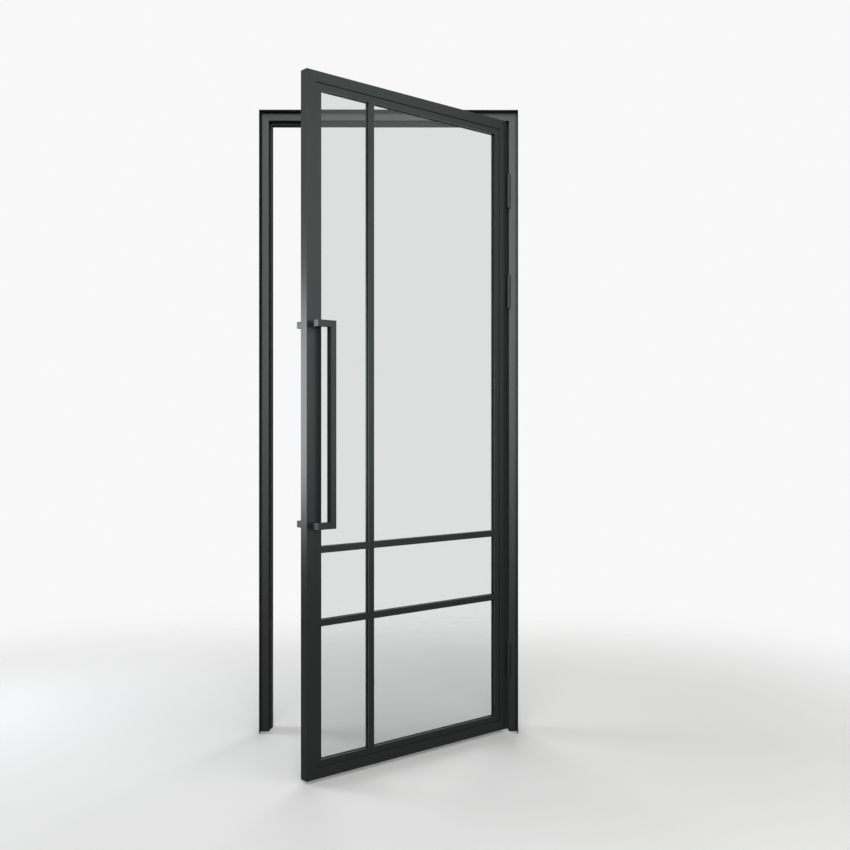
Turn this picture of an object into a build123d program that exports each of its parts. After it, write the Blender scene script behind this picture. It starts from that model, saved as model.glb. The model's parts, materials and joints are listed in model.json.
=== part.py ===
from build123d import *
from math import radians, tan
import os

# Glass door in a slim aluminium frame: one hinged leaf with a single pane and glazing bars.
# Millimetres. X runs across the doorway with the hinges at +X, Y runs from the pull side to the
# room behind, and Z is up. The origin is on the floor, in the middle of the doorway, level with
# the frame's face. Leaf pieces are drawn as if the door were closed, on planes that are then
# turned about the hinge axis.

# Frame
frame_width = 896.0
frame_height = 2157.0
frame_depth = 65.0
frame_face = 30.0
frame_wall = 2.0
frame_edge_radius = 0.5
fin_length = 27.0
fin_thickness = 2.0
fin_edge_radius = 0.6
shadow_gap = 5.0
shadow_depth = 4.0
rebate_depth = 40.0
stop_width = 6.0

# Fixing holes of the frame
fixing_radius = 3.3
fixing_depth = 20.0
fixing_count = 4
fixing_lowest = 100.0
fixing_top_distance = 137.0
head_fixing_count = 2
head_fixing_spacing = 400.0

# Leaf
open_angle = 40.0
side_gap = 3.0
top_gap = 3.0
floor_gap = 10.0
leaf_thickness = 32.0
leaf_wall = 2.0
leaf_edge_radius = 0.5
stile_width = 32.5

# Corner cleats inside the mitres
cleat_arm = 70.0
cleat_clearance = 0.2

# Glass, its gaskets and the blocks it rests on
glass_thickness = 8.0
glass_depth = 10.5
glass_edge_clearance = 5.5
gasket_thickness = 1.0
gasket_width = 8.0
block_length = 100.0
block_corner_distance = 120.0
block_clearance = 0.3

# Glazing beads on the pull side and the glazing leg of the leaf extrusion behind the glass
bead_width = 20.0
bead_step = 3.0
bead_gap = 1.5
bead_wall = 1.5
bead_shoulder = 3.0
bead_leg_width = 2.5
bead_leg_end = 12.0
clip_height = 1.6
clip_reach = 0.8
clip_clearance = 0.15
rear_leg_thickness = 5.5
rear_leg_wall = 1.6

# Glazing bars, bonded with tape to both faces of the glass
bar_width = 20.0
bar_wall = 1.5
tape_width = 14.0
tape_thickness = 1.0
upright_bar_from_lock_edge = 243.0
cross_bar_heights = {"lower": 473.5, "upper": 693.0}

# Door seals: a bulb on the stop, and a leg that covers the rebate where no hinge is in the way
seal_width = 5.0
seal_wall = 1.0
seal_clearance = 0.4
seal_leg_thickness = 1.0
seal_leg_setback = 1.0

# Hinges
axis_forward = 8.5
hinge_end_distance = 244.0
upper_hinge_spacing = 350.0
barrel_radius = 6.5
barrel_length = 117.0
barrel_edge_radius = 1.0
knuckle_cap = 5.0
pin_radius = 3.5
pin_end_clearance = 0.5
pin_chamfer = 0.6
running_clearance = 0.05
washer_thickness = 1.0
plate_thickness = 1.2
plate_width = 28.0
plate_setback = 1.0
plate_corner_radius = 3.0
backing_thickness = 4.0
backing_width = 22.0

# Hinge screws
screw_count = 3
screw_spacing = 42.0
screw_radius = 2.5
screw_length = 12.0
screw_head_radius = 4.2
screw_socket_radius = 1.5
screw_socket_depth = 1.2
screw_clearance = 0.1
countersink_angle = 90.0

# Pull handles, one on each face of the lock stile
handle_bar = 20.0
handle_centres = 600.0
handle_height = 1068.0
handle_reach = 41.0
handle_from_lock_edge = 22.8
grip_offset = 45.6
handle_edge_radius = 0.5
standoff_radius = 7.0
standoff_length = 12.3
stud_radius = 4.0
stud_grip = 16.0
stud_clearance = 0.1
stud_end_clearance = 0.5
sleeve_radius = 6.0
grub_radius = 2.5
grub_socket_radius = 1.4
grub_socket_depth = 2.5
grub_setback = 0.4
grub_clearance = 0.1

# Worked out from the sizes above
rebate_side = frame_width / 2 - frame_face
rebate_top = frame_height - frame_face
fixing_spacing = (frame_height - fixing_top_distance - fixing_lowest) / (fixing_count - 1)
leaf_side = rebate_side - side_gap
leaf_width = 2 * leaf_side
leaf_top = rebate_top - top_gap
leaf_height = leaf_top - floor_gap
leaf_middle = (leaf_top + floor_gap) / 2
axis_x = rebate_side - side_gap / 2
axis_y = -axis_forward
glass_back = glass_depth + glass_thickness
glass_edge = stile_width + glass_edge_clearance
bead_edge = stile_width + bead_gap
bead_back = glass_depth - gasket_thickness
sight_edge = bead_edge + bead_width
rear_leg_front = glass_back + gasket_thickness
rear_leg_back = rear_leg_front + rear_leg_thickness
clip_depth = (bead_step + bead_shoulder + bead_leg_end) / 2
upright_bar_x = upright_bar_from_lock_edge - leaf_side
knuckle_length = (barrel_length - washer_thickness) / 2
plate_middle = plate_setback + plate_width / 2
hinge_heights = {
    "top": leaf_top - hinge_end_distance,
    "middle": leaf_top - hinge_end_distance - upper_hinge_spacing,
    "bottom": floor_gap + hinge_end_distance,
}
handle_x = handle_from_lock_edge - leaf_side
grip_x = handle_x + grip_offset
handle_ends = [(handle_x, handle_height + side * handle_centres / 2) for side in (-1, 1)]

left, right = (-1, 0, 0), (1, 0, 0)
down, up = (0, 0, -1), (0, 0, 1)
to_axis = Location((axis_x, axis_y, 0))
leaf_turn = to_axis * Location((0, 0, 0), (0, 0, open_angle)) * to_axis.inverse()

os.makedirs("parts", exist_ok=True)


def finish(piece, name):
    """Labels a finished piece and writes it to its own file."""
    piece.part.label = name
    export_step(piece.part, f"parts/{name}.step")


def on_leaf(plane):
    """Turns a plane of the closed leaf about the hinge axis to where the open leaf has it."""
    return Plane(leaf_turn * plane.location)


def upright(depth):
    """Upright plane that faces the pull side, the given depth behind the frame's face."""
    return Plane.XZ.offset(-depth)


def section_plane(corner, along, inward):
    """Plane of a side's section: x inwards from the outer edge, y into the depth."""
    return Plane(origin=corner, x_dir=inward, z_dir=along)


def outline_plane(corner, along):
    """Plane of a side's outline: x along the side, y inwards from the outer edge."""
    return Plane(origin=corner, x_dir=along, z_dir=(0, 1, 0))


def mitred(length, outer, inner, start=1, end=1):
    """Outline of a side between two distances from the outer edge.

    An end given as 1 is cut at 45 degrees, and one given as 0 is cut square.
    """
    return (
        (outer * start, outer),
        (length - outer * end, outer),
        (length - inner * end, inner),
        (inner * start, inner),
    )


def nearest(sketch, points):
    """The corners of a sketch that lie at the given points."""
    return [sketch.vertices().sort_by_distance(point)[0] for point in points]


def screw_seats(height, face_x, facing):
    """Where the screws of a hinge plate at a height sit: on the plate's face, looking out of it."""
    lowest = height - (screw_count - 1) * screw_spacing / 2
    return [
        Plane(origin=(face_x, plate_middle, lowest + i * screw_spacing), z_dir=facing).location
        for i in range(screw_count)
    ]


def countersunk_holes(seats):
    """Cuts a countersunk screw hole at each seat into the part being built."""
    with Locations(*seats):
        CounterSinkHole(
            screw_radius + screw_clearance,
            screw_head_radius + screw_clearance,
            screw_length,
            countersink_angle,
        )


# Each side of a rectangle of extrusions: start corner, direction, inward direction and length
frame_sides = {
    "hinge_jamb": ((frame_width / 2, 0, frame_height), down, left, frame_height),
    "lock_jamb": ((-frame_width / 2, 0, 0), up, right, frame_height),
    "head": ((-frame_width / 2, 0, frame_height), right, down, frame_width),
}
leaf_sides = {
    "hinge_stile": ((leaf_side, 0, leaf_top), down, left, leaf_height),
    "lock_stile": ((-leaf_side, 0, floor_gap), up, right, leaf_height),
    "top_rail": ((-leaf_side, 0, leaf_top), right, down, leaf_width),
    "bottom_rail": ((leaf_side, 0, floor_gap), left, up, leaf_width),
}
frame_screw_seats = {}
leaf_screw_seats = {}
for place, height in hinge_heights.items():
    frame_screw_seats[place] = screw_seats(height, rebate_side - plate_thickness, left)
    closed_seats = screw_seats(height, leaf_side + plate_thickness, right)
    leaf_screw_seats[place] = [leaf_turn * seat for seat in closed_seats]
all_frame_screw_seats = sum(frame_screw_seats.values(), [])
all_leaf_screw_seats = sum(leaf_screw_seats.values(), [])

# Section of the frame extrusion: fin, shadow gap, face, rebate and stop round one chamber
face_start = fin_thickness + shadow_gap
stop_edge = frame_face + stop_width
with BuildSketch() as frame_section:
    with BuildLine():
        Polyline(
            (0, -fin_length),
            (fin_thickness, -fin_length),
            (fin_thickness, shadow_depth),
            (face_start, shadow_depth),
            (face_start, 0),
            (frame_face, 0),
            (frame_face, rebate_depth),
            (stop_edge, rebate_depth),
            (stop_edge, frame_depth),
            (0, frame_depth),
            close=True,
        )
    make_face()
    rounded = [(face_start, 0), (frame_face, 0), (stop_edge, rebate_depth), (stop_edge, frame_depth)]
    fillet(nearest(frame_section, rounded), frame_edge_radius)
    fin_edges = [(0, -fin_length), (fin_thickness, -fin_length)]
    fillet(nearest(frame_section, fin_edges), fin_edge_radius)
    with BuildLine():
        Polyline(
            (frame_wall, shadow_depth + frame_wall),
            (face_start + frame_wall, shadow_depth + frame_wall),
            (face_start + frame_wall, frame_wall),
            (frame_face - frame_wall, frame_wall),
            (frame_face - frame_wall, rebate_depth + frame_wall),
            (stop_edge - frame_wall, rebate_depth + frame_wall),
            (stop_edge - frame_wall, frame_depth - frame_wall),
            (frame_wall, frame_depth - frame_wall),
            close=True,
        )
    make_face(mode=Mode.SUBTRACT)

# Section of the leaf extrusion: a box, the bead's clip slot and the hollow leg behind the glass
with BuildSketch() as leaf_section:
    with BuildLine():
        Polyline(
            (0, 0),
            (stile_width, 0),
            (stile_width, rear_leg_front),
            (sight_edge, rear_leg_front),
            (sight_edge, rear_leg_back),
            (stile_width, rear_leg_back),
            (stile_width, leaf_thickness),
            (0, leaf_thickness),
            close=True,
        )
    make_face()
    rounded = [(0, 0), (stile_width, 0), (stile_width, leaf_thickness), (0, leaf_thickness)]
    fillet(nearest(leaf_section, rounded), leaf_edge_radius)
    with Locations((stile_width / 2, leaf_thickness / 2)):
        Rectangle(stile_width - 2 * leaf_wall, leaf_thickness - 2 * leaf_wall, mode=Mode.SUBTRACT)
    with Locations(((stile_width + sight_edge) / 2, (rear_leg_front + rear_leg_back) / 2)):
        Rectangle(
            sight_edge - stile_width - 2 * rear_leg_wall,
            rear_leg_thickness - 2 * rear_leg_wall,
            mode=Mode.SUBTRACT,
        )
    with Locations((stile_width, clip_depth)):
        Rectangle(
            2 * (clip_reach + clip_clearance),
            clip_height + 2 * clip_clearance,
            mode=Mode.SUBTRACT,
        )

# Section of the glazing bead: a channel with a leg that clips into the leaf extrusion
bead_inside = bead_step + bead_wall
bead_foot = sight_edge - gasket_width
bead_leg_side = stile_width + bead_leg_width
with BuildSketch() as bead_section:
    with BuildLine():
        Polyline(
            (bead_edge, bead_step),
            (sight_edge, bead_step),
            (sight_edge, bead_back),
            (bead_foot, bead_back),
            (bead_foot, bead_inside),
            (bead_edge + bead_wall, bead_inside),
            (bead_edge + bead_wall, bead_step + bead_shoulder),
            (bead_leg_side, bead_step + bead_shoulder),
            (bead_leg_side, bead_leg_end),
            (stile_width, bead_leg_end),
            (stile_width, clip_depth + clip_height / 2),
            (stile_width - clip_reach, clip_depth),
            (stile_width, clip_depth - clip_height / 2),
            (stile_width, bead_step + bead_shoulder),
            (bead_edge, bead_step + bead_shoulder),
            close=True,
        )
    make_face()

# Section of the door seal: a hollow bulb on a base against the stop
seal_front = leaf_thickness + seal_clearance
bulb_radius = seal_width / 2
seal_centre = frame_face + bulb_radius
with BuildSketch() as seal_section:
    with Locations((seal_centre, seal_front + bulb_radius)):
        Circle(bulb_radius)
    with Locations((seal_centre, rebate_depth)):
        Rectangle(seal_width, rebate_depth - seal_front - bulb_radius, align=(Align.CENTER, Align.MAX))
    with Locations((seal_centre, seal_front + bulb_radius)):
        Circle(bulb_radius - seal_wall, mode=Mode.SUBTRACT)

# Section of the seal whose leg covers the rebate
with BuildSketch() as covering_seal_section:
    add(seal_section.sketch)
    with Locations((frame_face, seal_leg_setback)):
        Rectangle(seal_leg_thickness, seal_front + bulb_radius - seal_leg_setback, align=Align.MIN)

# Drills for the fixing screws, from inside the seal's leg out through the side of the frame
with BuildPart() as fixing_drills:
    for side in (-1, 1):
        with BuildSketch(Plane.YZ.offset(side * (rebate_side - seal_leg_thickness))):
            for i in range(fixing_count):
                with Locations((fixing_depth, fixing_lowest + i * fixing_spacing)):
                    Circle(fixing_radius)
        extrude(amount=side * (seal_leg_thickness + frame_face))
    with BuildSketch(Plane.XY.offset(rebate_top - seal_leg_thickness)):
        with Locations((0, fixing_depth)):
            with GridLocations(head_fixing_spacing, 0, head_fixing_count, 1):
                Circle(fixing_radius)
    extrude(amount=seal_leg_thickness + frame_face)

# Frame and its seals: jambs mitred at the top and square at the floor, and the head between them
seals = {
    "hinge_jamb": ("door_seal_hinge_side", seal_section),
    "lock_jamb": ("door_seal_lock_side", covering_seal_section),
    "head": ("door_seal_head", covering_seal_section),
}
for name, (corner, along, inward, length) in frame_sides.items():
    for label, section in ((f"frame_{name}", frame_section), seals[name]):
        with BuildPart() as frame_piece:
            with BuildSketch(section_plane(corner, along, inward)):
                add(section.sketch)
            extrude(amount=length)
            with BuildSketch(outline_plane(corner, along).offset(-fin_length)):
                Polygon(*mitred(length, 0, stop_edge, along != up, along != down), align=None)
            extrude(amount=fin_length + frame_depth, mode=Mode.INTERSECT)
            add(fixing_drills.part, mode=Mode.SUBTRACT)
            if label == "frame_hinge_jamb":
                countersunk_holes(all_frame_screw_seats)
        finish(frame_piece, label)

# Cleats inside the frame's mitres
cleat_outer = frame_wall + cleat_clearance
cleat_inner = frame_face - frame_wall - cleat_clearance
cleat_front = shadow_depth + frame_wall + cleat_clearance
with BuildPart() as frame_corner_cleats:
    with BuildSketch(Plane.XZ.offset(-cleat_front)):
        with BuildLine():
            Polyline(
                (frame_width / 2 - cleat_outer, frame_height - cleat_outer),
                (frame_width / 2 - cleat_outer - cleat_arm, frame_height - cleat_outer),
                (frame_width / 2 - cleat_outer - cleat_arm, frame_height - cleat_inner),
                (frame_width / 2 - cleat_inner, frame_height - cleat_inner),
                (frame_width / 2 - cleat_inner, frame_height - cleat_outer - cleat_arm),
                (frame_width / 2 - cleat_outer, frame_height - cleat_outer - cleat_arm),
                close=True,
            )
        make_face()
        mirror(about=Plane.YZ)
    extrude(amount=-(frame_depth - frame_wall - cleat_clearance - cleat_front))
finish(frame_corner_cleats, "frame_corner_cleats")

# Leaf: stiles and rails, all mitred
for name, (corner, along, inward, length) in leaf_sides.items():
    with BuildPart() as leaf_member:
        with BuildSketch(on_leaf(section_plane(corner, along, inward))):
            add(leaf_section.sketch)
        extrude(amount=length)
        with BuildSketch(on_leaf(outline_plane(corner, along))):
            Polygon(*mitred(length, 0, sight_edge), align=None)
        extrude(amount=leaf_thickness, mode=Mode.INTERSECT)
        if name == "hinge_stile":
            countersunk_holes(all_leaf_screw_seats)
        if name == "lock_stile":
            with BuildSketch(on_leaf(upright(0))):
                with Locations(*handle_ends):
                    Circle(stud_radius + stud_clearance)
            extrude(amount=-leaf_thickness, mode=Mode.SUBTRACT)
    finish(leaf_member, f"leaf_{name}")

# Glazing beads, clipped to the inside of the stiles and rails
for name, (corner, along, inward, length) in leaf_sides.items():
    with BuildPart() as bead:
        with BuildSketch(on_leaf(section_plane(corner, along, inward))):
            add(bead_section.sketch)
        extrude(amount=length)
        with BuildSketch(on_leaf(outline_plane(corner, along))):
            Polygon(*mitred(length, stile_width - clip_reach, sight_edge), align=None)
        extrude(amount=leaf_thickness, mode=Mode.INTERSECT)
    finish(bead, f"glazing_bead_{name}")

# Cleats inside the leaf's mitres
leaf_cleat_outer = leaf_wall + cleat_clearance
leaf_cleat_inner = stile_width - leaf_wall - cleat_clearance
with BuildPart() as leaf_corner_cleats:
    with BuildSketch(on_leaf(upright(leaf_cleat_outer))):
        with BuildLine():
            Polyline(
                (leaf_side - leaf_cleat_outer, leaf_top - leaf_cleat_outer),
                (leaf_side - leaf_cleat_outer - cleat_arm, leaf_top - leaf_cleat_outer),
                (leaf_side - leaf_cleat_outer - cleat_arm, leaf_top - leaf_cleat_inner),
                (leaf_side - leaf_cleat_inner, leaf_top - leaf_cleat_inner),
                (leaf_side - leaf_cleat_inner, leaf_top - leaf_cleat_outer - cleat_arm),
                (leaf_side - leaf_cleat_outer, leaf_top - leaf_cleat_outer - cleat_arm),
                close=True,
            )
        make_face()
        mirror(about=Plane.YZ)
        mirror(about=Plane.XZ.offset(-leaf_middle))
    extrude(amount=-(leaf_thickness - 2 * leaf_cleat_outer))
finish(leaf_corner_cleats, "leaf_corner_cleats")

# Glass
with BuildPart() as glass_pane:
    with BuildSketch(on_leaf(upright(glass_depth))):
        with Locations((0, leaf_middle)):
            Rectangle(leaf_width - 2 * glass_edge, leaf_height - 2 * glass_edge)
    extrude(amount=-glass_thickness)
finish(glass_pane, "glass_pane")

# Gaskets on both faces of the glass
for name, depth in {"front": bead_back, "back": glass_back}.items():
    with BuildPart() as gasket:
        with BuildSketch(on_leaf(upright(depth))):
            with Locations((0, leaf_middle)):
                Rectangle(leaf_width - 2 * bead_foot, leaf_height - 2 * bead_foot)
                Rectangle(
                    leaf_width - 2 * sight_edge,
                    leaf_height - 2 * sight_edge,
                    mode=Mode.SUBTRACT,
                )
        extrude(amount=-gasket_thickness)
    finish(gasket, f"glazing_gasket_{name}")

# Blocks between the glass and the leaf: two carry it, and two at opposite corners keep it square
block_front = bead_leg_end + block_clearance
block_middle = stile_width + glass_edge_clearance / 2
block_x = leaf_side - block_corner_distance
block_z = leaf_height / 2 - block_corner_distance
with BuildPart() as setting_blocks:
    with BuildSketch(on_leaf(upright(block_front))):
        with Locations((-block_x, floor_gap + block_middle), (block_x, floor_gap + block_middle)):
            Rectangle(block_length, glass_edge_clearance)
        with Locations(
            (leaf_side - block_middle, leaf_middle - block_z),
            (block_middle - leaf_side, leaf_middle + block_z),
        ):
            Rectangle(glass_edge_clearance, block_length)
    extrude(amount=block_front - glass_back)
finish(setting_blocks, "setting_blocks")

# Glazing bars: one upright bar and two cross bars on each side of it, on both faces of the glass
sight_side = leaf_side - sight_edge
lock_light = (-sight_side, upright_bar_x - bar_width / 2)
hinge_light = (upright_bar_x + bar_width / 2, sight_side)
bars = {"upright_bar": ((upright_bar_x, leaf_middle), (bar_width, leaf_height - 2 * sight_edge))}
for level, height in cross_bar_heights.items():
    for side, (start, end) in {"lock_side": lock_light, "hinge_side": hinge_light}.items():
        bars[f"{level}_cross_bar_{side}"] = (((start + end) / 2, height), (end - start, bar_width))
faces = {
    "front": (glass_depth, 1, glass_depth - bead_step),
    "back": (glass_back, -1, rear_leg_back - glass_back),
}
for name, (centre, (width, height)) in bars.items():
    bore = (2 * bar_wall, 0) if name == "upright_bar" else (0, 2 * bar_wall)
    for face, (seat, outwards, thickness) in faces.items():
        with BuildPart() as bar:
            with BuildSketch(on_leaf(upright(seat).offset(outwards * tape_thickness))):
                with Locations(centre):
                    Rectangle(width, height)
            extrude(amount=outwards * (thickness - tape_thickness))
            with BuildSketch(on_leaf(upright(seat).offset(outwards * (tape_thickness + bar_wall)))):
                with Locations(centre):
                    Rectangle(width - bore[0], height - bore[1])
            extrude(amount=outwards * (thickness - tape_thickness - 2 * bar_wall), mode=Mode.SUBTRACT)
        finish(bar, f"{name}_{face}")

# Tapes between the bars and the glass, narrower than the bars
for face, (seat, outwards, _) in faces.items():
    with BuildPart() as bar_tapes:
        with BuildSketch(on_leaf(upright(seat))):
            for name, (centre, (width, height)) in bars.items():
                with Locations(centre):
                    if name == "upright_bar":
                        Rectangle(tape_width, height)
                    else:
                        Rectangle(width, tape_width)
        extrude(amount=outwards * tape_thickness)
    finish(bar_tapes, f"bar_tapes_{face}")

# Hinges: the lower knuckle is part of the frame's half, and the upper knuckle of the leaf's half
neck_length = plate_setback + axis_forward
for place, height in hinge_heights.items():
    barrel_bottom = height - barrel_length / 2
    knuckle_top = barrel_bottom + knuckle_length
    upper_knuckle = knuckle_top + washer_thickness

    with BuildPart() as hinge_frame_half:
        with BuildSketch(Plane.XY.offset(barrel_bottom)):
            with Locations((axis_x, axis_y)):
                Circle(barrel_radius)
        extrude(amount=knuckle_length)
        fillet(hinge_frame_half.edges().group_by(Axis.Z)[0], barrel_edge_radius)
        with BuildSketch(Plane.XY.offset(barrel_bottom)):
            with Locations((rebate_side, axis_y)):
                Rectangle(plate_thickness, neck_length, align=(Align.MAX, Align.MIN))
        extrude(amount=knuckle_length)
        with BuildSketch(Plane.YZ.offset(rebate_side)):
            with Locations((plate_middle, height)):
                RectangleRounded(plate_width, barrel_length, plate_corner_radius)
        extrude(amount=-plate_thickness)
        with BuildSketch(Plane.XY.offset(barrel_bottom + knuckle_cap)):
            with Locations((axis_x, axis_y)):
                Circle(pin_radius)
        extrude(amount=knuckle_length, mode=Mode.SUBTRACT)
        countersunk_holes(frame_screw_seats[place])
    finish(hinge_frame_half, f"hinge_{place}_frame_half")

    with BuildPart() as hinge_leaf_half:
        with BuildSketch(on_leaf(Plane.XY.offset(upper_knuckle))):
            with Locations((axis_x, axis_y)):
                Circle(barrel_radius)
        extrude(amount=knuckle_length)
        fillet(hinge_leaf_half.edges().group_by(Axis.Z)[-1], barrel_edge_radius)
        with BuildSketch(on_leaf(Plane.XY.offset(upper_knuckle))):
            with Locations((leaf_side, axis_y)):
                Rectangle(plate_thickness, neck_length, align=(Align.MIN, Align.MIN))
        extrude(amount=knuckle_length)
        with BuildSketch(on_leaf(Plane.YZ.offset(leaf_side))):
            with Locations((plate_middle, height)):
                RectangleRounded(plate_width, barrel_length, plate_corner_radius)
        extrude(amount=plate_thickness)
        with BuildSketch(on_leaf(Plane.XY.offset(upper_knuckle))):
            with Locations((axis_x, axis_y)):
                Circle(pin_radius + running_clearance)
        extrude(amount=knuckle_length - knuckle_cap, mode=Mode.SUBTRACT)
        countersunk_holes(leaf_screw_seats[place])
    finish(hinge_leaf_half, f"hinge_{place}_leaf_half")

# Hinge pins, held in the lower knuckles, and the washers that carry the upper ones
pin_length = 2 * (knuckle_length - knuckle_cap) + washer_thickness - pin_end_clearance
with BuildPart() as hinge_pins:
    for height in hinge_heights.values():
        with Locations((axis_x, axis_y, height - barrel_length / 2 + knuckle_cap)):
            Cylinder(pin_radius, pin_length, align=(Align.CENTER, Align.CENTER, Align.MIN))
    chamfer(hinge_pins.edges().filter_by(GeomType.CIRCLE), pin_chamfer)
finish(hinge_pins, "hinge_pins")

with BuildPart() as hinge_washers:
    for height in hinge_heights.values():
        with BuildSketch(Plane.XY.offset(height - washer_thickness / 2)):
            with Locations((axis_x, axis_y)):
                Circle(barrel_radius - barrel_edge_radius / 2)
                Circle(pin_radius + running_clearance, mode=Mode.SUBTRACT)
        extrude(amount=washer_thickness - running_clearance)
finish(hinge_washers, "hinge_washers")

# Hinge screws, and the plates inside the extrusions that they screw into
screw_head_depth = (screw_head_radius - screw_radius) / tan(radians(countersink_angle / 2))
hanging = (Align.CENTER, Align.CENTER, Align.MAX)
with BuildPart() as hinge_screw:
    Cylinder(screw_radius, screw_length, align=hanging)
    Cone(screw_radius, screw_head_radius, screw_head_depth, align=hanging)
    with BuildSketch():
        RegularPolygon(screw_socket_radius, 6)
    extrude(amount=-screw_socket_depth, mode=Mode.SUBTRACT)

with BuildPart() as hinge_frame_screws:
    with Locations(*all_frame_screw_seats):
        add(hinge_screw.part)
finish(hinge_frame_screws, "hinge_frame_screws")

with BuildPart() as hinge_leaf_screws:
    with Locations(*all_leaf_screw_seats):
        add(hinge_screw.part)
finish(hinge_leaf_screws, "hinge_leaf_screws")

with BuildPart() as frame_backing_plates:
    for height in hinge_heights.values():
        with BuildSketch(Plane.YZ.offset(rebate_side + frame_wall)):
            with Locations((plate_middle, height)):
                Rectangle(backing_width, barrel_length)
        extrude(amount=backing_thickness)
    with Locations(*all_frame_screw_seats):
        Hole(screw_radius + screw_clearance)
finish(frame_backing_plates, "frame_backing_plates")

with BuildPart() as leaf_backing_plates:
    for height in hinge_heights.values():
        with BuildSketch(on_leaf(Plane.YZ.offset(leaf_side - leaf_wall))):
            with Locations((plate_middle, height)):
                Rectangle(backing_width, barrel_length)
        extrude(amount=-backing_thickness)
    with Locations(*all_leaf_screw_seats):
        Hole(screw_radius + screw_clearance)
finish(leaf_backing_plates, "leaf_backing_plates")

# Grub screw that clamps a handle on its stud, from the end of the handle inwards
grub_length = handle_bar / 2 - grub_setback - stud_radius - stud_clearance
with BuildPart() as grub_screw:
    with Locations((0, 0, -grub_setback)):
        Cylinder(grub_radius, grub_length, align=hanging)
    with BuildSketch(Plane.XY.offset(-grub_setback)):
        RegularPolygon(grub_socket_radius, 6)
    extrude(amount=-grub_socket_depth, mode=Mode.SUBTRACT)

# Pull handles: a square bar bent into a C, on feet that stand off the stile
arm_length = grip_offset + handle_bar / 2
foot_length = handle_reach - handle_bar - standoff_length
handle_faces = {"front": (0.0, 1), "back": (leaf_thickness, -1)}
all_grub_seats = []
for face, (surface, outwards) in handle_faces.items():
    standoff_plane = on_leaf(upright(surface).offset(outwards * standoff_length))
    grub_y = surface - outwards * (standoff_length + stud_grip / 2)
    grub_seats = [
        leaf_turn * Plane(origin=(x, grub_y, z + end * handle_bar / 2), z_dir=(0, 0, end)).location
        for end, (x, z) in zip((-1, 1), handle_ends)
    ]
    all_grub_seats += grub_seats

    with BuildPart() as pull_handle:
        with BuildSketch(on_leaf(upright(surface).offset(outwards * (handle_reach - handle_bar)))):
            with Locations((grip_x, handle_height)):
                Rectangle(handle_bar, handle_centres + handle_bar)
            with Locations(*[(x - handle_bar / 2, z) for x, z in handle_ends]):
                Rectangle(arm_length, handle_bar, align=(Align.MIN, Align.CENTER))
        extrude(amount=outwards * handle_bar)
        with BuildSketch(standoff_plane):
            with Locations(*handle_ends):
                Rectangle(handle_bar, handle_bar)
        extrude(amount=outwards * foot_length)
        fillet(pull_handle.edges(), handle_edge_radius)
        with BuildSketch(standoff_plane):
            with Locations(*handle_ends):
                Circle(stud_radius + stud_clearance)
        extrude(amount=outwards * stud_grip, mode=Mode.SUBTRACT)
        with Locations(*grub_seats):
            Hole(grub_radius + grub_clearance, handle_bar / 2)
    finish(pull_handle, f"pull_handle_{face}")

    with BuildPart() as handle_standoffs:
        with BuildSketch(on_leaf(upright(surface))):
            with Locations(*handle_ends):
                Circle(standoff_radius)
                Circle(stud_radius + stud_clearance, mode=Mode.SUBTRACT)
        extrude(amount=outwards * standoff_length)
    finish(handle_standoffs, f"handle_standoffs_{face}")

with BuildPart() as handle_grub_screws:
    with Locations(*all_grub_seats):
        add(grub_screw.part)
finish(handle_grub_screws, "handle_grub_screws")

stud_length = leaf_thickness + 2 * (standoff_length + stud_grip - stud_end_clearance)
with BuildPart() as handle_studs:
    with BuildSketch(on_leaf(upright(leaf_thickness / 2 - stud_length / 2))):
        with Locations(*handle_ends):
            Circle(stud_radius)
    extrude(amount=-stud_length)
finish(handle_studs, "handle_studs")

with BuildPart() as handle_sleeves:
    with BuildSketch(on_leaf(upright(leaf_wall))):
        with Locations(*handle_ends):
            Circle(sleeve_radius)
            Circle(stud_radius + stud_clearance, mode=Mode.SUBTRACT)
    extrude(amount=-(leaf_thickness - 2 * leaf_wall))
finish(handle_sleeves, "handle_sleeves")
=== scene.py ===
"""Dresses the glass door: powder coating, glass, rubber, screws, and a plain studio round it."""

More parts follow.
